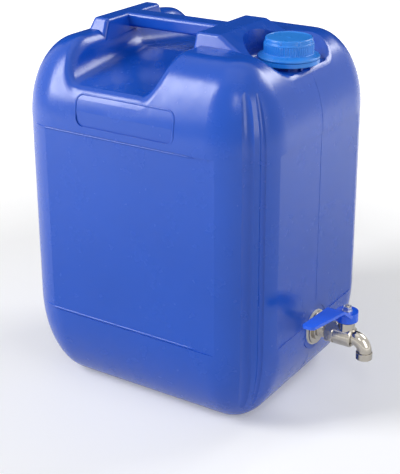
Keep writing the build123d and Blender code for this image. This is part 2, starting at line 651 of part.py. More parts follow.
def tap_stem():
    """Turned stem: tang for the ball, collar, shaft, square for the lever, and thread."""
    square_top = LEVER_TOP_Z - LEVER_SINK
    tang = block(BALL_X - TANG_THICKNESS / 2, BALL_X + TANG_THICKNESS / 2, -TANG_LENGTH / 2, TANG_LENGTH / 2,
                 COLLAR_Z - TANG_DEPTH, COLLAR_Z + STEM_COLLAR_HEIGHT / 2)
    tang = tang & rod_z(STEM_COLLAR_RADIUS, TAP_Z, BIG, BALL_X)
    stem = tang + rod_z(STEM_COLLAR_RADIUS, COLLAR_Z, COLLAR_Z + STEM_COLLAR_HEIGHT, BALL_X)
    square_bottom = LEVER_TOP_Z - LEVER_THICKNESS - 2 * LEVER_SINK
    stem = stem + rod_z(STEM_RADIUS, COLLAR_Z + STEM_COLLAR_HEIGHT, square_bottom, BALL_X)
    half = STEM_SQUARE / 2
    square = block(BALL_X - half, BALL_X + half, -half, half, square_bottom, square_top)
    square = square & rod_z(STEM_RADIUS, TAP_Z, BIG, BALL_X)
    thread = rod_z(STEM_THREAD_RADIUS, square_top, LEVER_TOP_Z + STEM_THREAD_LENGTH, BALL_X)
    return stem + square + chamfer(thread.edges().sort_by(Axis.Z)[-1], STEM_THREAD_CHAMFER)


def stem_packing():
    """Sealing ring under the gland nut."""
    return ring_z(STEM_COLLAR_RADIUS, STEM_RADIUS + STEM_FIT, PACKING_Z, GLAND_Z, BALL_X)


def gland_nut():
    """Nut that presses the packing down and guides the stem."""
    nut = rod_z(GLAND_PLUG_RADIUS - THREAD_CLEARANCE, GLAND_Z, BOSS_TOP_Z, BALL_X)
    nut = nut + hexagon_z(GLAND_ACROSS_FLATS, BOSS_TOP_Z, BOSS_TOP_Z + GLAND_HEAD_HEIGHT, BALL_X)
    return nut - rod_z(STEM_RADIUS + STEM_FIT, 0, BIG, BALL_X)


def lever_profile():
    """Side view of the lever: level over the hub, cranked up, then a long blade."""
    middle = -LEVER_THICKNESS / 2
    line = Polyline((LEVER_HUB_RADIUS + LEVER_SINK, middle), (LEVER_HUB_WALL - LEVER_HUB_RADIUS, middle),
                    (-LEVER_ROOT_Y, LEVER_ROOT_RISE), (-LEVER_LENGTH, LEVER_TIP_RISE))
    rounded = fillet(line.vertices()[1:3], LEVER_BEND_RADIUS)
    strip = offset(rounded, LEVER_THICKNESS / 2, side=Side.BOTH)
    return Pos(BALL_X, 0, LEVER_TOP_Z) * (Plane.YZ * strip)


def lever_outline():
    """Plan view of the lever: round hub and a blade that narrows to a blunt tip."""
    root = LEVER_ROOT_WIDTH / 2
    tip = LEVER_TIP_WIDTH / 2
    shoulder = -LEVER_LENGTH + LEVER_TIP_CORNER
    inner = tip - LEVER_TIP_CORNER
    blade = make_face(Polyline((-root, 0), (-root, -LEVER_ROOT_Y), (-tip, shoulder), (-inner, -LEVER_LENGTH),
                               (inner, -LEVER_LENGTH), (tip, shoulder), (root, -LEVER_ROOT_Y), (root, 0),
                               close=True))
    return Circle(LEVER_HUB_RADIUS) + blade


def lever_handle():
    """Pressed lever with a cup over the gland and a square hole for the stem."""
    side = lever_profile()
    plate = extrude(make_face(side.edges()), LEVER_HUB_RADIUS + LEVER_SINK, both=True)
    plate = plate & (Pos(BALL_X, 0, 0) * extrude(lever_outline(), BIG))
    cup = ring_z(LEVER_HUB_RADIUS, LEVER_HUB_RADIUS - LEVER_HUB_WALL, LEVER_HUB_Z,
                 LEVER_TOP_Z - LEVER_THICKNESS / 2, BALL_X)
    half = STEM_SQUARE / 2 + STEM_FIT
    return plate + cup - block(BALL_X - half, BALL_X + half, -half, half, 0, BIG)


def lever_washer():
    """Spring washer between the lever and its nut."""
    return ring_z(LEVER_WASHER_RADIUS, STEM_THREAD_RADIUS + STEM_FIT, LEVER_TOP_Z,
                  LEVER_TOP_Z + LEVER_WASHER_THICKNESS, BALL_X)


def lever_nut():
    """Nut that holds the lever on the stem."""
    low = LEVER_TOP_Z + LEVER_WASHER_THICKNESS
    nut = hexagon_z(LEVER_NUT_ACROSS_FLATS, low, low + LEVER_NUT_HEIGHT, BALL_X)
    return nut - rod_z(STEM_THREAD_RADIUS + STEM_FIT, 0, BIG, BALL_X)


def outlet_washer():
    """Rubber washer between the spout's end and the collar's lip."""
    inner = SPOUT_RADIUS - COLLAR_LIP_WIDTH
    return ring_z(SPOUT_RADIUS, inner, OUTLET_Z - OUTLET_WASHER_THICKNESS, OUTLET_Z, OUTLET_X)


def outlet_collar():
    """Screwed ring on the end of the spout."""
    lip_top = OUTLET_Z - OUTLET_WASHER_THICKNESS
    low = lip_top - COLLAR_LIP
    collar = rod_z(SPOUT_RADIUS + COLLAR_WALL, low, low + COLLAR_HEIGHT, OUTLET_X)
    collar = chamfer(collar.edges(), COLLAR_CHAMFER)
    collar = collar - rod_z(SPOUT_RADIUS + THREAD_CLEARANCE, lip_top, BIG, OUTLET_X)
    return collar - rod_z(SPOUT_RADIUS - COLLAR_LIP_WIDTH, 0, BIG, OUTLET_X)


PIECES = {
    "container": container,
    "cap_shell": cap_shell,
    "cap_liner": cap_liner,
    "tamper_ring": tamper_ring,
    "tap_washer": tap_washer,
    "tap_flange_nut": tap_flange_nut,
    "tap_gasket": tap_gasket,
    "tap_backnut": tap_backnut,
    "tap_inlet": tap_inlet,
    "tap_body": tap_body,
    "ball_seat_inlet": lambda: ball_seat(-1),
    "ball_seat_outlet": lambda: ball_seat(1),
    "tap_ball": tap_ball,
    "tap_stem": tap_stem,
    "stem_packing": stem_packing,
    "gland_nut": gland_nut,
    "lever_handle": lever_handle,
    "lever_washer": lever_washer,
    "lever_nut": lever_nut,
    "outlet_washer": outlet_washer,
    "outlet_collar": outlet_collar,
}

if __name__ == "__main__":
    os.makedirs("parts", exist_ok=True)
    for node, make in PIECES.items():
        save(make(), node)
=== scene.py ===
"""Looks for a stacking canister with a screw cap and a quarter-turn tap, laid out as a Blender add-on."""
import math

import bmesh
import bpy
import numpy as np
from mathutils import Matrix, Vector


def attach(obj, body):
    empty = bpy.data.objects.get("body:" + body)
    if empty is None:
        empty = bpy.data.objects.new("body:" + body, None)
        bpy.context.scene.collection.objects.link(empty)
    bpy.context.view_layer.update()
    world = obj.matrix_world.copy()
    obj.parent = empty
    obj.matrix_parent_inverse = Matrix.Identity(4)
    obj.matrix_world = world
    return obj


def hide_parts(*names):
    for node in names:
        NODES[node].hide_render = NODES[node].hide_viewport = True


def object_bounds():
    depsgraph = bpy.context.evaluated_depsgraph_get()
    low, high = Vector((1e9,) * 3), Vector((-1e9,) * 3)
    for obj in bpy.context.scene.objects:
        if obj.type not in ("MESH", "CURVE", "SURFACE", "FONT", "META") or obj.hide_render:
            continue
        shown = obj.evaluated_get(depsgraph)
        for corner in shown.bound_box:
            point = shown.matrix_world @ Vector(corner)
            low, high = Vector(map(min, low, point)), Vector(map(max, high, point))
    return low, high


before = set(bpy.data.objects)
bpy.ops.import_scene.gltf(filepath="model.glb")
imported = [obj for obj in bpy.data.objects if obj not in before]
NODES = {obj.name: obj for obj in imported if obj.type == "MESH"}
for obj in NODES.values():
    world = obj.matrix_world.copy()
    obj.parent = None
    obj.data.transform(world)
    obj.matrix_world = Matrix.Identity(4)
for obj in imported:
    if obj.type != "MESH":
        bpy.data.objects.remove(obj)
CAD_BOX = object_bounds()

bl_info = {
    "name": "Stacking canister looks",
    "version": (1, 0, 0),
    "blender": (4, 5, 0),
    "location": "View3D > Sidebar > Canister",
    "description": "Finishes, cap, thread, beads and studio for a blow-moulded canister with a tap",
    "category": "Object",
}

MM = 0.001


# ---- properties ------------------------------------------------------------------


def colour(name, text, default):
    """One colour setting."""
    return bpy.props.FloatVectorProperty(name=name, description=text, subtype="COLOR", size=3,
                                         min=0.0, max=1.0, default=default)


def share(name, text, default):
    """One setting from 0 to 1."""
    return bpy.props.FloatProperty(name=name, description=text, subtype="FACTOR", min=0.0, max=1.0,
                                   default=default)


def length(name, text, default):
    """One length setting, in metres."""
    return bpy.props.FloatProperty(name=name, description=text, unit="LENGTH", min=0.00005, max=0.1,
                                   precision=5, default=default)


class CanisterSettings(bpy.types.PropertyGroup):
    wall_colour: colour("Wall colour", "Colour of the blow-moulded polyethylene", (0.004, 0.072, 0.47))
    wall_roughness: share("Wall roughness", "Roughness of the moulded skin", 0.24)
    grain_size: length("Grain size", "Size of the moulded grain", 0.0009)
    seam_width: length("Seam width", "Width of the parting line's ridge", 0.0013)
    seam_height: length("Seam height", "How far the parting line stands out", 0.0003)
    bead_width: length("Bead width", "Width of the beads on the wide walls", 0.0022)
    bead_height: length("Bead height", "How far the beads on the wide walls stand out", 0.0007)


class ClosureSettings(bpy.types.PropertyGroup):
    cap_colour: colour("Cap colour", "Colour of the moulded screw cap", (0.020, 0.22, 0.74))
    liner_colour: colour("Liner colour", "Colour of the foamed sealing disc", (0.80, 0.81, 0.80))
    bar_height: length("Bar height", "How far the cap's bold bars stand out", 0.0008)
    rib_height: length("Rib height", "How far the cap's fine ribs stand out", 0.0005)


class TapSettings(bpy.types.PropertyGroup):
    plating_colour: colour("Plating colour", "Colour of the nickel plating", (0.45, 0.42, 0.37))
    lever_colour: colour("Lever colour", "Colour of the lever's powder coating", (0.012, 0.12, 0.82))
    washer_colour: colour("Washer colour", "Colour of the nylon washer", (0.72, 0.70, 0.60))
    ball_colour: colour("Ball colour", "Colour of the ball's polished plating", (0.75, 0.75, 0.75))
    steel_colour: colour("Steel colour", "Colour of the lever's nut and washer", (0.62, 0.62, 0.63))
    seat_colour: colour("Seat colour", "Colour of the ball's seats", (0.85, 0.85, 0.83))
    thread_pitch: length("Thread pitch", "Pitch of the pipe thread on the shank", 0.00134)
    thread_depth: length("Thread depth", "Depth of the pipe thread on the shank", 0.0005)


class StageSettings(bpy.types.PropertyGroup):
    floor_colour: colour("Floor colour", "Colour of the floor", (0.72, 0.72, 0.72))
    floor_lift: share("Floor lift", "Light of its own that the floor shows the camera", 0.22)
    lamp_power: bpy.props.FloatProperty(name="Lamp power", unit="POWER", min=0.0, max=1000.0, default=44.0,
                                        description="Power of the main lamp; the others follow")
    ambient: share("Ambient light", "Strength of the white surroundings", 0.10)
    lens: bpy.props.FloatProperty(name="Lens", description="Focal length of the camera, in mm",
                                  min=10.0, max=300.0, default=87.748)


SETTINGS = {
    "canister_looks": CanisterSettings,
    "closure_looks": ClosureSettings,
    "tap_looks": TapSettings,
    "stage_looks": StageSettings,
}


# ---- materials -------------------------------------------------------------------


class Graph:
    """Small helper that adds and links nodes of one material."""

    def __init__(self, name):
        self.material = bpy.data.materials.new(name)
        self.material.use_nodes = True
        self.tree = self.material.node_tree
        self.shader = self.tree.nodes["Principled BSDF"]
        self.place = self.add("ShaderNodeTexCoord").outputs["Object"]

    def add(self, kind, **attributes):
        """New node with its attributes set."""
        node = self.tree.nodes.new(kind)
        for key, value in attributes.items():
            setattr(node, key, value)
        return node

    def link(self, source, target):
        """Join an output to an input."""
        self.tree.links.new(source, target)

    def noise(self, scale, detail=3.0):
        """Noise on object space in metres; its output runs from 0 to 1."""
        node = self.add("ShaderNodeTexNoise")
        node.inputs["Scale"].default_value = scale
        node.inputs["Detail"].default_value = detail
        self.link(self.place, node.inputs["Vector"])
        return node.outputs["Fac"]

    def span(self, value, low, high, new_low, new_high):
        """Linear map of a value, held at its ends."""
        node = self.add("ShaderNodeMapRange")
        for key, number in (("From Min", low), ("From Max", high), ("To Min", new_low), ("To Max", new_high)):
            node.inputs[key].default_value = number
        self.link(value, node.inputs["Value"])
        return node.outputs["Result"]

    def mix(self, factor, first, second):
        """Mix of two colours."""
        node = self.add("ShaderNodeMix", data_type="RGBA")
        node.inputs[6].default_value = (*first, 1.0)
        node.inputs[7].default_value = (*second, 1.0)
        self.link(factor, node.inputs[0])
        return node.outputs[2]

    def bump(self, height, strength, distance, after=None):
        """Bump from a height; several are chained."""
        node = self.add("ShaderNodeBump")
        node.inputs["Strength"].default_value = strength
        node.inputs["Distance"].default_value = distance
        self.link(height, node.inputs["Height"])
        if after:
            self.link(after, node.inputs["Normal"])
        return node.outputs["Normal"]

    def finish(self, base=None, roughness=None, normal=None, **constants):
        """Join the three varying inputs and set the constant ones."""
        for value, key in ((base, "Base Color"), (roughness, "Roughness"), (normal, "Normal")):
            if value is not None:
                self.link(value, self.shader.inputs[key])
        for key, value in constants.items():
            self.shader.inputs[key.replace("_", " ")].default_value = value
        return self.material


class WorldGraph(Graph):
    """The same helper on the nodes of the world."""

    def __init__(self, world):
        self.tree = world.node_tree
        self.background = self.tree.nodes["Background"]


def tint(rgb, factor):
    """A colour made lighter or darker."""
    return tuple(min(1.0, channel * factor) for channel in rgb)


# Moulded skin: noise scale, depth in m and strength of its slow waves, depth and strength of its grain,
# and noise scale of its glossier patches.
SKIN_WAVE_SCALE = 26.0
SKIN_WAVE_DEPTH = 0.0006
SKIN_WAVE_STRENGTH = 0.25
GRAIN_DEPTH = 0.00002
GRAIN_STRENGTH = 0.22
GLOSS_PATCH_SCALE = 60.0
PLASTIC_SPECULAR = 0.46
PLASTIC_IOR = 1.5


def moulded_plastic(name, rgb, roughness, grain, cloud):
    """Satin moulded plastic: fine grain, a slow unevenness of the skin and faint clouding."""
    g = Graph(name)
    base = g.mix(g.noise(cloud, 4.0), tint(rgb, 0.90), tint(rgb, 1.10))
    rough = g.span(g.noise(GLOSS_PATCH_SCALE), 0.3, 0.7, roughness - 0.04, roughness + 0.05)
    slow = g.bump(g.noise(SKIN_WAVE_SCALE, 2.0), SKIN_WAVE_STRENGTH, SKIN_WAVE_DEPTH)
    fine = g.bump(g.noise(1.0 / grain, 2.0), GRAIN_STRENGTH, GRAIN_DEPTH, slow)
    return g.finish(base, rough, fine, Specular_IOR_Level=PLASTIC_SPECULAR, IOR=PLASTIC_IOR)


# Plating: noise scales of its tarnish, its wear and its pits, with the pits' depth in m and strength.
TARNISH_SCALE = 160.0
WEAR_SCALE = 260.0
PIT_SCALE = 420.0
PIT_DEPTH = 0.00006
PIT_STRENGTH = 0.14


def plated_metal(name, rgb, roughness):
    """Bright plating over cast and turned brass: faint pitting, wear and tarnish."""
    g = Graph(name)
    base = g.mix(g.noise(TARNISH_SCALE, 4.0), tint(rgb, 0.86), tint(rgb, 1.12))
    rough = g.span(g.noise(WEAR_SCALE, 4.0), 0.35, 0.7, roughness * 0.75, roughness * 1.4)
    pits = g.bump(g.noise(PIT_SCALE, 2.0), PIT_STRENGTH, PIT_DEPTH)
    return g.finish(base, rough, pits, Metallic=1.0)


# Rubber: its two tones, and noise scales of the tones, the gloss and the grain.
RUBBER_DARK = (0.012, 0.012, 0.012)
RUBBER_PALE = (0.03, 0.03, 0.032)
RUBBER_SCALES = (300.0, 800.0, 2000.0)


def rubber(name):
    """Dull black moulded rubber."""
    g = Graph(name)
    tones, gloss, grain = (g.noise(scale) for scale in RUBBER_SCALES)
    rough = g.span(gloss, 0.3, 0.7, 0.55, 0.75)
    return g.finish(g.mix(tones, RUBBER_DARK, RUBBER_PALE), rough, g.bump(grain, 0.3, GRAIN_DEPTH))


def dress(piece, material, body):
    """Give a new piece its material, body and material slot."""
    piece.data.materials.append(material)
    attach(piece, body)


def put(material, *names):
    """Give CAD nodes one material."""
    for name in names:
        slots = NODES[name].data.materials
        slots.clear()
        slots.append(material)


# ---- surfaces --------------------------------------------------------------------

FULL_TURN = 2.0 * np.pi
# Points of a grid closer than this, in m, become one.
MERGE_DISTANCE = 1e-7
# How far inside the solids' box a new piece stays, in mm.
BOX_MARGIN = 0.02
# Ridges: points round the section, step along the path in mm, rows over which an end runs out.
RIDGE_SIDES = 12
RIDGE_STEP = 3.0
RIDGE_END_ROWS = 3.0
# Distance from the middle, in m, at which rays towards a wall start.
RAY_START = 0.3


def grid_piece(name, points, wrap_rows=False):
    """Closed surface over a grid of points, rows by columns, in mm.

    Columns always join the last to the first; rows do so on request, else the first and last rows are poles.
    Equal points are merged, and the faces are turned outwards by the sign of the enclosed volume.
    """
    rows, columns = points.shape[:2]
    index = np.arange(rows * columns).reshape(rows, columns)
    if wrap_rows:
        index = np.vstack((index, index[:1]))
    index = np.hstack((index, index[:, :1]))
    faces = np.stack((index[:-1, :-1], index[:-1, 1:], index[1:, 1:], index[1:, :-1]), axis=-1).reshape(-1, 4)
    flat = points.reshape(-1, 3) * MM
    a, b, c, d = (flat[faces[:, k]] for k in range(4))
    volume = (np.cross(a, b) * c).sum() + (np.cross(a, c) * d).sum()
    if volume < 0:
        faces = faces[:, ::-1]
    mesh = bpy.data.meshes.new(name)
    mesh.from_pydata(flat.tolist(), [], faces.tolist())
    work = bmesh.new()
    work.from_mesh(mesh)
    bmesh.ops.remove_doubles(work, verts=work.verts, dist=MERGE_DISTANCE)
    work.to_mesh(mesh)
    work.free()
    mesh.shade_smooth()
    piece = bpy.data.objects.new(name, mesh)
    bpy.context.scene.collection.objects.link(piece)
    return piece


def inside_box(points):
    """Points held just inside the CAD model's box, where a ridge would leave it."""
    low, high = (np.array(corner) / MM for corner in CAD_BOX)
    return np.clip(points, low + BOX_MARGIN, high - BOX_MARGIN)


def cut_corners(profile, size):
    """Profile whose inner corners are each replaced by two points, size before and after the corner, or
    0.4 of the way to the neighbour where that is less."""
    points = np.array(profile, float)
    corner = points[1:-1]
    pair = []
    for step in (points[:-2] - corner, points[2:] - corner):
        reach = np.linalg.norm(step, axis=1, keepdims=True)
        pair.append(corner + step / reach * np.minimum(size, 0.4 * reach))
    middle = np.stack(pair, axis=1).reshape(-1, 2)
    return np.vstack((points[:1], middle, points[-1:]))


def fill_rows(profile, step):
    """Profile with rows added so that no two are more than step apart."""
    points = np.array(profile, float)
    lengths = np.linalg.norm(np.diff(points, axis=0), axis=1)
    counts = np.maximum(1, np.ceil(lengths / step)).astype(int)
    place = np.concatenate([k + np.arange(n) / n for k, n in enumerate(counts)] + [[len(points) - 1]])
    known = np.arange(len(points))
    return np.column_stack([np.interp(place, known, points[:, axis]) for axis in (0, 1)])


def wall_points(starts, ray):
    """Where rays from each start, in mm, along one direction first meet the container, in mm."""
    wall = NODES["container"]
    return np.array([wall.ray_cast(tuple(start * MM), ray)[1] for start in starts]) / MM


def ridge(name, path, out, across, width, height, closed=False):
    """Ridge of half-round height carried along a path on a wall.

    At angle t of its section a point is the path's plus height * sin(t) * out + width / 2 * cos(t) * across,
    so half of the section is sunk in the wall. On an open path both terms grow from 0 to full over the rows
    at each end, so that the ridge runs out into the wall.
    """
    t = np.linspace(0.0, FULL_TURN, RIDGE_SIDES, endpoint=False)
    row = np.arange(len(path))
    taper = np.ones(len(path)) if closed else np.minimum(1.0, np.minimum(row, row[::-1]) / RIDGE_END_ROWS)
    raised = height * np.sin(t)[None, :, None] * np.array(out)
    spread = width / 2.0 * np.cos(t)[None, :, None] * np.reshape(across, (-1, 1, 3))
    points = path[:, None, :] + taper[:, None, None] * (raised + spread)
    return grid_piece(name, inside_box(points), wrap_rows=closed)


# ---- canister --------------------------------------------------------------------

WALL_CLOUD = 9.0

# Each run of the parting line: name, side of the canister, lowest and highest point in mm.
SEAM_RUNS = (
    ("seam_tap_end_upper", 1.0, 106.0, 352.0),
    ("seam_tap_end_lower", 1.0, 16.0, 52.0),
    ("seam_far_end", -1.0, 16.0, 340.0),
)


def seam_strip(name, side, low, high, width, height):
    """Parting line on an end wall: a ridge, as in ridge(), up the wall in the plane y = 0.

    The path's x at each height z is where a ray along X meets the container; out is along X, across is Y.
    """
    z = np.arange(low, high, RIDGE_STEP)
    starts = np.column_stack((np.full(len(z), side * RAY_START / MM), np.zeros(len(z)), z))
    path = wall_points(starts, (-side, 0.0, 0.0))
    path[:, 1:] = starts[:, 1:]
    return ridge(name, path, (side, 0.0, 0.0), (0.0, 1.0, 0.0), width, height)


# Beads along the upper and lower edge of the front and back wall panels: name, side, height in mm.
PANEL_BEADS = (
    ("panel_bead_front_upper", -1.0, 289.0), ("panel_bead_front_lower", -1.0, 90.6),
    ("panel_bead_back_upper", 1.0, 289.0), ("panel_bead_back_lower", 1.0, 90.6),
)
PANEL_SPAN = (-118.0, 82.0)


def panel_bead(name, side, level, width, height):
    """Bead along a wall panel's edge: a ridge, as in ridge(), at one height of a wide wall.

    The path's y at each x is where a ray along Y meets the container; out is along Y, across is Z.
    """
    x = np.arange(*PANEL_SPAN, RIDGE_STEP)
    starts = np.column_stack((x, np.full(len(x), side * RAY_START / MM), np.full(len(x), level)))
    path = wall_points(starts, (0.0, -side, 0.0))
    path[:, ::2] = starts[:, ::2]
    return ridge(name, path, (0.0, side, 0.0), (0.0, 0.0, 1.0), width, height)


# Frame round the label field: middle, half size and corner radius in mm.
FRAME_MIDDLE = (-3.0, 313.0)
FRAME_HALF = (57.2, 16.2)
FRAME_RADIUS = 8.7
FRAME_POINTS = 160
FRAME_STEP = 1.5


def label_frame(name, width, height):
    """Bead round the label field: a closed ridge, as in ridge(), along a rounded rectangle on the front wall.

    The rectangle is the inner box of half size minus the radius, moved out by the radius along the angle of
    its corners; the path's y is where a ray along Y meets the container; out is along -Y.
    """
    a = np.linspace(0.0, FULL_TURN, FRAME_POINTS, endpoint=False)
    turn = np.column_stack((np.cos(a), np.sin(a)))
    corner = np.sign(turn) * (np.array(FRAME_HALF) - FRAME_RADIUS) + FRAME_RADIUS * turn
    loop = fill_rows(np.vstack((corner, corner[:1])), FRAME_STEP)[:-1]
    tangent = np.roll(loop, -1, axis=0) - np.roll(loop, 1, axis=0)
    tangent /= np.linalg.norm(tangent, axis=1, keepdims=True)
    flat = np.zeros(len(loop))
    across = np.column_stack((tangent[:, 1], flat, -tangent[:, 0]))
    x, z = (loop + FRAME_MIDDLE).T
    starts = np.column_stack((x, flat - RAY_START / MM, z))
    path = wall_points(starts, (0.0, 1.0, 0.0))
    path[:, ::2] = starts[:, ::2]
    return ridge(name, path, (0.0, -1.0, 0.0), across, width, height, closed=True)


class CANISTER_OT_body(bpy.types.Operator):
    """Finish of the blow-moulded canister"""
    bl_idname = "canister.body"
    bl_label = "Canister body"

    def execute(self, context):
        s = context.scene.canister_looks
        plastic = moulded_plastic("canister_plastic", tuple(s.wall_colour), s.wall_roughness, s.grain_size,
                                  WALL_CLOUD)
        put(plastic, "container")
        seam = s.seam_width / MM, s.seam_height / MM
        bead = s.bead_width / MM, s.bead_height / MM
        ridges = [seam_strip(*run, *seam) for run in SEAM_RUNS]
        ridges += [panel_bead(*run, *bead) for run in PANEL_BEADS]
        ridges.append(label_frame("label_frame", *bead))
        for piece in ridges:
            dress(piece, plastic, "container")
        return {"FINISHED"}


# ---- closure ---------------------------------------------------------------------

# Roughness, grain in m and clouding scale of the small mouldings.
CLOSURE_SKIN = (0.30, 0.0006, 40.0)
LINER_SKIN = (0.6, 0.0004, 60.0)

# Section of the cap as (radius, height) in mm, from the middle of its top, out and down to the skirt, then
# back up inside to the liner.
CAP_X = 105.0
CAP_SECTION = (
    (0.0, 381.30), (1.5, 381.20), (2.1, 380.90), (20.7, 380.90), (21.2, 381.60), (22.3, 381.60),
    (23.1, 380.70), (23.4, 376.90), (24.2, 376.70), (24.4, 375.80), (24.1, 375.50), (24.1, 366.80),
    (25.2, 366.20), (29.9, 364.00), (30.5, 363.50), (30.5, 361.80), (28.6, 361.80), (28.5, 363.20),
    (24.5, 363.20), (24.4, 361.80), (22.1, 361.80), (22.0, 378.95), (0.0, 379.00),
)
UPPER_BAND = (376.95, 380.75)
LOWER_BAND = (366.50, 375.60)
BAR_COUNT = 8
RIB_COUNT = 64
BAR_START = math.radians(-81.6)
BAR_HALF_ANGLE = math.radians(1.6)
BAND_RADII = (22.9, 24.3)
BAND_EASE = 0.3
# Columns for each fine rib, cut of the section's corners and longest step between its rows, in mm.
RIB_COLUMNS = 12
CAP_CORNER = 0.22
CAP_ROW_STEP = 1.6


def ribbed_cap(name, bar, rib):
    """Screw cap: its section turned about the neck's axis, with the radius raised by ribs on two bands.

    At angle a, a bold bar adds bar * clip(1.5 - d / BAR_HALF_ANGLE, 0, 1), where d is the angle to the
    nearest bar, on both bands; a fine rib adds rib * max(0, cos(RIB_COUNT * a)) on the lower one. Both are
    multiplied by a window that rises over BAND_EASE at each end of a band.
    """
    radius, height = fill_rows(cut_corners(CAP_SECTION, CAP_CORNER), CAP_ROW_STEP).T
    a = np.linspace(0.0, FULL_TURN, RIB_COUNT * RIB_COLUMNS, endpoint=False)
    pitch = FULL_TURN / BAR_COUNT
    to_bar = np.abs((a - BAR_START + pitch / 2.0) % pitch - pitch / 2.0)
    bars = bar * np.clip(1.5 - to_bar / BAR_HALF_ANGLE, 0.0, 1.0)
    ribs = rib * np.clip(np.cos(RIB_COUNT * (a - BAR_START)), 0.0, 1.0)
    outside = (radius > BAND_RADII[0]) & (radius < BAND_RADII[1])
    upper, lower = (np.clip(np.minimum(height - low, high - height) / BAND_EASE, 0.0, 1.0) * outside
                    for low, high in (UPPER_BAND, LOWER_BAND))
    raised = np.maximum(upper[:, None] * bars[None, :], lower[:, None] * np.maximum(bars, ribs)[None, :])
    r = radius[:, None] + raised
    z = np.broadcast_to(height[:, None], r.shape)
    return grid_piece(name, np.stack((CAP_X + r * np.cos(a), r * np.sin(a), z), axis=-1))


class CANISTER_OT_closure(bpy.types.Operator):
    """Ribbed cap, and finishes of the tamper ring and the liner"""
    bl_idname = "canister.closure"
    bl_label = "Cap and ring"

    def execute(self, context):
        s = context.scene.closure_looks
        plastic = moulded_plastic("closure_plastic", tuple(s.cap_colour), *CLOSURE_SKIN)
        put(plastic, "cap_shell", "tamper_ring")
        cap = ribbed_cap("ribbed_cap", s.bar_height / MM, s.rib_height / MM)
        dress(cap, plastic, "cap")
        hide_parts("cap_shell")
        put(moulded_plastic("liner_foam", tuple(s.liner_colour), *LINER_SKIN), "cap_liner")
        return {"FINISHED"}


# ---- tap -------------------------------------------------------------------------

METAL_NODES = ("tap_flange_nut", "tap_backnut", "tap_inlet", "tap_body", "tap_stem", "gland_nut",
               "outlet_collar")
STEEL_NODES = ("lever_washer", "lever_nut")
RUBBER_NODES = ("tap_gasket", "stem_packing", "outlet_washer")
SEAT_NODES = ("ball_seat_inlet", "ball_seat_outlet")

# Roughness, grain in m and clouding scale of the small mouldings and the coating.
WASHER_SKIN = (0.45, 0.0004, 80.0)
SEAT_SKIN = (0.4, 0.0004, 80.0)
LEVER_SKIN = (0.22, 0.0009, 60.0)
NICKEL_ROUGHNESS = 0.13
BALL_ROUGHNESS = 0.06
STEEL_ROUGHNESS = 0.3

# Thread on the bare stretch of the shank: its ends, radii and height in mm, sides and rows for each pitch.
THREAD_FROM = 150.4
THREAD_TO = 160.1
THREAD_ROOT = 8.28
THREAD_BORE = 8.05
THREAD_SIDES = 72
ROWS_PER_PITCH = 8.0
TAP_HEIGHT = 79.0


def pipe_thread(name, pitch, depth):
    """Thread on the bare stretch of shank: at length u and angle a the radius is the root plus depth times
    a triangle wave of (u / pitch - a / full turn), closed at both ends onto a bore that the shank fills."""
    u = np.arange(THREAD_FROM, THREAD_TO, pitch / ROWS_PER_PITCH)
    a = np.linspace(0.0, FULL_TURN, THREAD_SIDES, endpoint=False)
    turns = u[:, None] / pitch - a[None, :] / FULL_TURN
    outer = THREAD_ROOT + depth * (1.0 - np.abs(2.0 * (turns % 1.0) - 1.0))
    bore = np.full((1, len(a)), THREAD_BORE)
    r = np.vstack((bore, outer, bore))
    x = np.broadcast_to(np.concatenate((u[:1], u, u[-1:]))[:, None], r.shape)
    return grid_piece(name, np.stack((x, r * np.cos(a), TAP_HEIGHT + r * np.sin(a)), axis=-1), wrap_rows=True)


class CANISTER_OT_tap(bpy.types.Operator):
    """Thread, and finishes of the tap's metal, rubber and plastic pieces"""
    bl_idname = "canister.tap"
    bl_label = "Tap"

    def execute(self, context):
        s = context.scene.tap_looks
        nickel = plated_metal("nickel_plating", tuple(s.plating_colour), NICKEL_ROUGHNESS)
        put(nickel, *METAL_NODES)
        thread = pipe_thread("shank_thread", s.thread_pitch / MM, s.thread_depth / MM)
        dress(thread, nickel, "container")
        put(plated_metal("polished_plating", tuple(s.ball_colour), BALL_ROUGHNESS), "tap_ball")
        put(plated_metal("zinc_steel", tuple(s.steel_colour), STEEL_ROUGHNESS), *STEEL_NODES)
        put(rubber("black_rubber"), *RUBBER_NODES)
        put(moulded_plastic("nylon", tuple(s.washer_colour), *WASHER_SKIN), "tap_washer")
        put(moulded_plastic("seat_plastic", tuple(s.seat_colour), *SEAT_SKIN), *SEAT_NODES)
        put(moulded_plastic("lever_coating", tuple(s.lever_colour), *LEVER_SKIN), "lever_handle")
        return {"FINISHED"}


# ---- stage -----------------------------------------------------------------------

WHITE = (1.0, 1.0, 1.0, 1.0)

# Camera: angle from -Y towards +X, angle above the floor, in degrees; distance and target in m.
CAMERA_VIEW = (32.3634, 21.3592)
CAMERA_DISTANCE = 1.2252
CAMERA_TARGET = np.array((0.017, 0.0, 0.19378))
CAMERA_SHIFT = (-0.02532, -0.07807)
CAMERA_REACH = 100.0

# Each lamp: name, angle from -Y towards +X and above the floor in degrees, distance and size in m, and
# share of the power.
LAMP_AIM = np.array((0.0, 0.0, 0.18))
LAMPS = (
    ("key_lamp", -42.0, 34.0, 2.2, (0.62, 1.7), 1.0),
    ("right_panel", 76.0, 25.0, 2.4, (1.2, 1.5), 0.42),
    ("front_strip", 32.0, 44.0, 2.4, (0.3, 0.5), 0.10),
    ("back_right", 150.0, 40.0, 2.4, (0.9, 0.8), 0.50),
    ("top_panel", 20.0, 84.0, 2.2, (1.4, 1.4), 0.08),
)

# Dark card behind the object: the same two angles, then distance, width and height in m.
CARD = (-147.0, 27.0, 1.5, 2.2, 1.4)


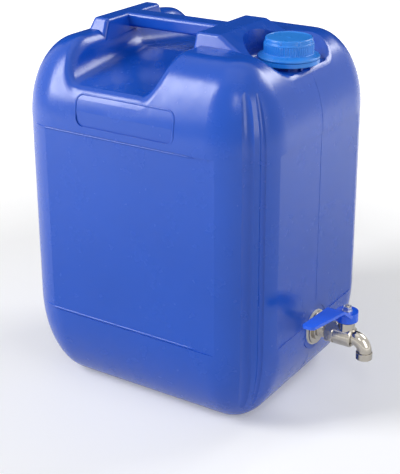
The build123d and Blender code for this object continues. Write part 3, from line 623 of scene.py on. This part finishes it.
def sees_directly(g):
    """1 for camera, glossy and transmission rays, as a Math chain on Light Path."""
    path = g.add("ShaderNodeLightPath")
    first = g.add("ShaderNodeMath", operation="MAXIMUM")
    second = g.add("ShaderNodeMath", operation="MAXIMUM")
    g.link(path.outputs["Is Camera Ray"], first.inputs[0])
    g.link(path.outputs["Is Glossy Ray"], first.inputs[1])
    g.link(first.outputs[0], second.inputs[0])
    g.link(path.outputs["Is Transmission Ray"], second.inputs[1])
    return second.outputs[0]


# Floor: half its side, and where its own light starts and stops growing, in m from the middle.
FLOOR_HALF = 12.0
FLOOR_NEAR = 0.42
FLOOR_FAR = 1.3
FLOOR_CLOUD = 3.0


def floor_material(rgb, lift):
    """Pale matt floor that reads white where nothing shades it.

    Seen directly it has a faint light of its own, lift near the object, which grows to plain white far away.
    """
    g = Graph("studio_floor")
    seen = sees_directly(g)
    away = g.add("ShaderNodeVectorMath", operation="LENGTH")
    g.link(g.place, away.inputs[0])
    glow = g.add("ShaderNodeMath", operation="MULTIPLY")
    g.link(seen, glow.inputs[0])
    g.link(g.span(away.outputs["Value"], FLOOR_NEAR, FLOOR_FAR, lift, 1.0), glow.inputs[1])
    g.link(glow.outputs[0], g.shader.inputs["Emission Strength"])
    base = g.mix(g.noise(FLOOR_CLOUD), tint(rgb, 0.99), tint(rgb, 1.01))
    return g.finish(base, Roughness=0.9, Specular_IOR_Level=0.1, Emission_Color=WHITE)


def direction(azimuth, elevation):
    """Unit vector at an angle from -Y towards +X and an angle above the floor, both in degrees."""
    a, e = math.radians(azimuth), math.radians(elevation)
    return np.array((math.sin(a) * math.cos(e), -math.cos(a) * math.cos(e), math.sin(e)))


def upright_axes(back):
    """Sideways, upward and backward unit vectors, as rows, of something upright whose back is this way."""
    back = back / np.linalg.norm(back)
    side = np.cross((0.0, 0.0, 1.0), back)
    side /= np.linalg.norm(side)
    return np.array((side, np.cross(back, side), back))


def stand(thing, back, place):
    """Put a lamp or a camera in the scene at a place, with its back this way."""
    bpy.context.scene.collection.objects.link(thing)
    rows = np.column_stack((upright_axes(back).T, place))
    thing.matrix_world = Matrix((*rows.tolist(), (0.0, 0.0, 0.0, 1.0)))


def area_lamp(name, power, size, place):
    """Rectangular soft lamp at a place, turned to LAMP_AIM."""
    data = bpy.data.lights.new(name, "AREA")
    data.shape = "RECTANGLE"
    data.size, data.size_y = size
    data.energy = power
    stand(bpy.data.objects.new(name, data), place - LAMP_AIM, place)


def flat_sheet(name, corners, material):
    """Flat four-cornered sheet."""
    mesh = bpy.data.meshes.new(name)
    mesh.from_pydata([tuple(corner) for corner in corners], [], [(0, 1, 2, 3)])
    mesh.materials.append(material)
    sheet = bpy.data.objects.new(name, mesh)
    bpy.context.scene.collection.objects.link(sheet)
    return sheet


# Corners of a sheet in halves of its sides, in order round it, and the two tones of the dark card.
CORNERS = np.array(((-1.0, -1.0), (1.0, -1.0), (1.0, 1.0), (-1.0, 1.0)))
CARD_DARK = (0.01, 0.015, 0.03)
CARD_PALE = (0.02, 0.025, 0.045)


def dark_card(name, azimuth, elevation, distance, width, height):
    """Matt card that only reflections see; it keeps the sheen off the tops, as a studio's black flag does."""
    back = direction(azimuth, elevation)
    axes = upright_axes(back)[:2]
    corners = back * distance + LAMP_AIM + (CORNERS * (width / 2.0, height / 2.0)) @ axes
    g = Graph(name)
    material = g.finish(g.mix(g.noise(40.0), CARD_DARK, CARD_PALE), Roughness=0.9)
    card = flat_sheet(name, corners.tolist(), material)
    card.visible_camera = card.visible_diffuse = card.visible_shadow = False


def studio_world(ambient):
    """White surroundings: strength 1 where they are seen, ambient where they only light."""
    world = bpy.data.worlds.new("studio")
    world.use_nodes = True
    g = WorldGraph(world)
    g.link(g.span(sees_directly(g), 0.0, 1.0, ambient, 1.0), g.background.inputs["Strength"])
    g.background.inputs["Color"].default_value = WHITE
    return world


def studio_camera(lens):
    """Camera at the viewing angle."""
    data = bpy.data.cameras.new("camera")
    data.lens = lens
    data.shift_x, data.shift_y = CAMERA_SHIFT
    data.clip_end = CAMERA_REACH
    camera = bpy.data.objects.new("camera", data)
    back = direction(*CAMERA_VIEW)
    stand(camera, back, CAMERA_TARGET + back * CAMERA_DISTANCE)
    return camera


class CANISTER_OT_stage(bpy.types.Operator):
    """Floor, lamps, world and camera"""
    bl_idname = "canister.stage"
    bl_label = "Stage"

    def execute(self, context):
        scene = context.scene
        s = scene.stage_looks
        corners = np.column_stack((CORNERS * FLOOR_HALF, np.zeros(4)))
        floor = flat_sheet("floor", corners.tolist(), floor_material(tuple(s.floor_colour), s.floor_lift))
        for name, azimuth, elevation, distance, size, share_of_power in LAMPS:
            area_lamp(name, s.lamp_power * share_of_power, size, direction(azimuth, elevation) * distance)
        dark_card("dark_card", *CARD)
        scene.world = studio_world(s.ambient)
        scene.camera = studio_camera(s.lens)
        scene.view_settings.view_transform = "Standard"
        return {"FINISHED"}


OPERATORS = (CANISTER_OT_body, CANISTER_OT_closure, CANISTER_OT_tap, CANISTER_OT_stage)


class CANISTER_PT_looks(bpy.types.Panel):
    """Panel that lists the settings and the steps"""
    bl_label = "Canister"
    bl_idname = "CANISTER_PT_looks"
    bl_space_type = "VIEW_3D"
    bl_region_type = "UI"
    bl_category = "Canister"

    def draw(self, context):
        for name, group in SETTINGS.items():
            box = self.layout.box()
            for key in group.__annotations__:
                box.prop(getattr(context.scene, name), key)
        for operator in OPERATORS:
            self.layout.operator(operator.bl_idname)


CLASSES = (*SETTINGS.values(), *OPERATORS, CANISTER_PT_looks)


def register():
    for cls in CLASSES:
        bpy.utils.register_class(cls)
    for name, group in SETTINGS.items():
        setattr(bpy.types.Scene, name, bpy.props.PointerProperty(type=group))


def unregister():
    for name in SETTINGS:
        delattr(bpy.types.Scene, name)
    for cls in reversed(CLASSES):
        bpy.utils.unregister_class(cls)


def main():
    register()
    bpy.ops.canister.body()
    bpy.ops.canister.closure()
    bpy.ops.canister.tap()
    bpy.ops.canister.stage()


if __name__ == "__main__":
    main()
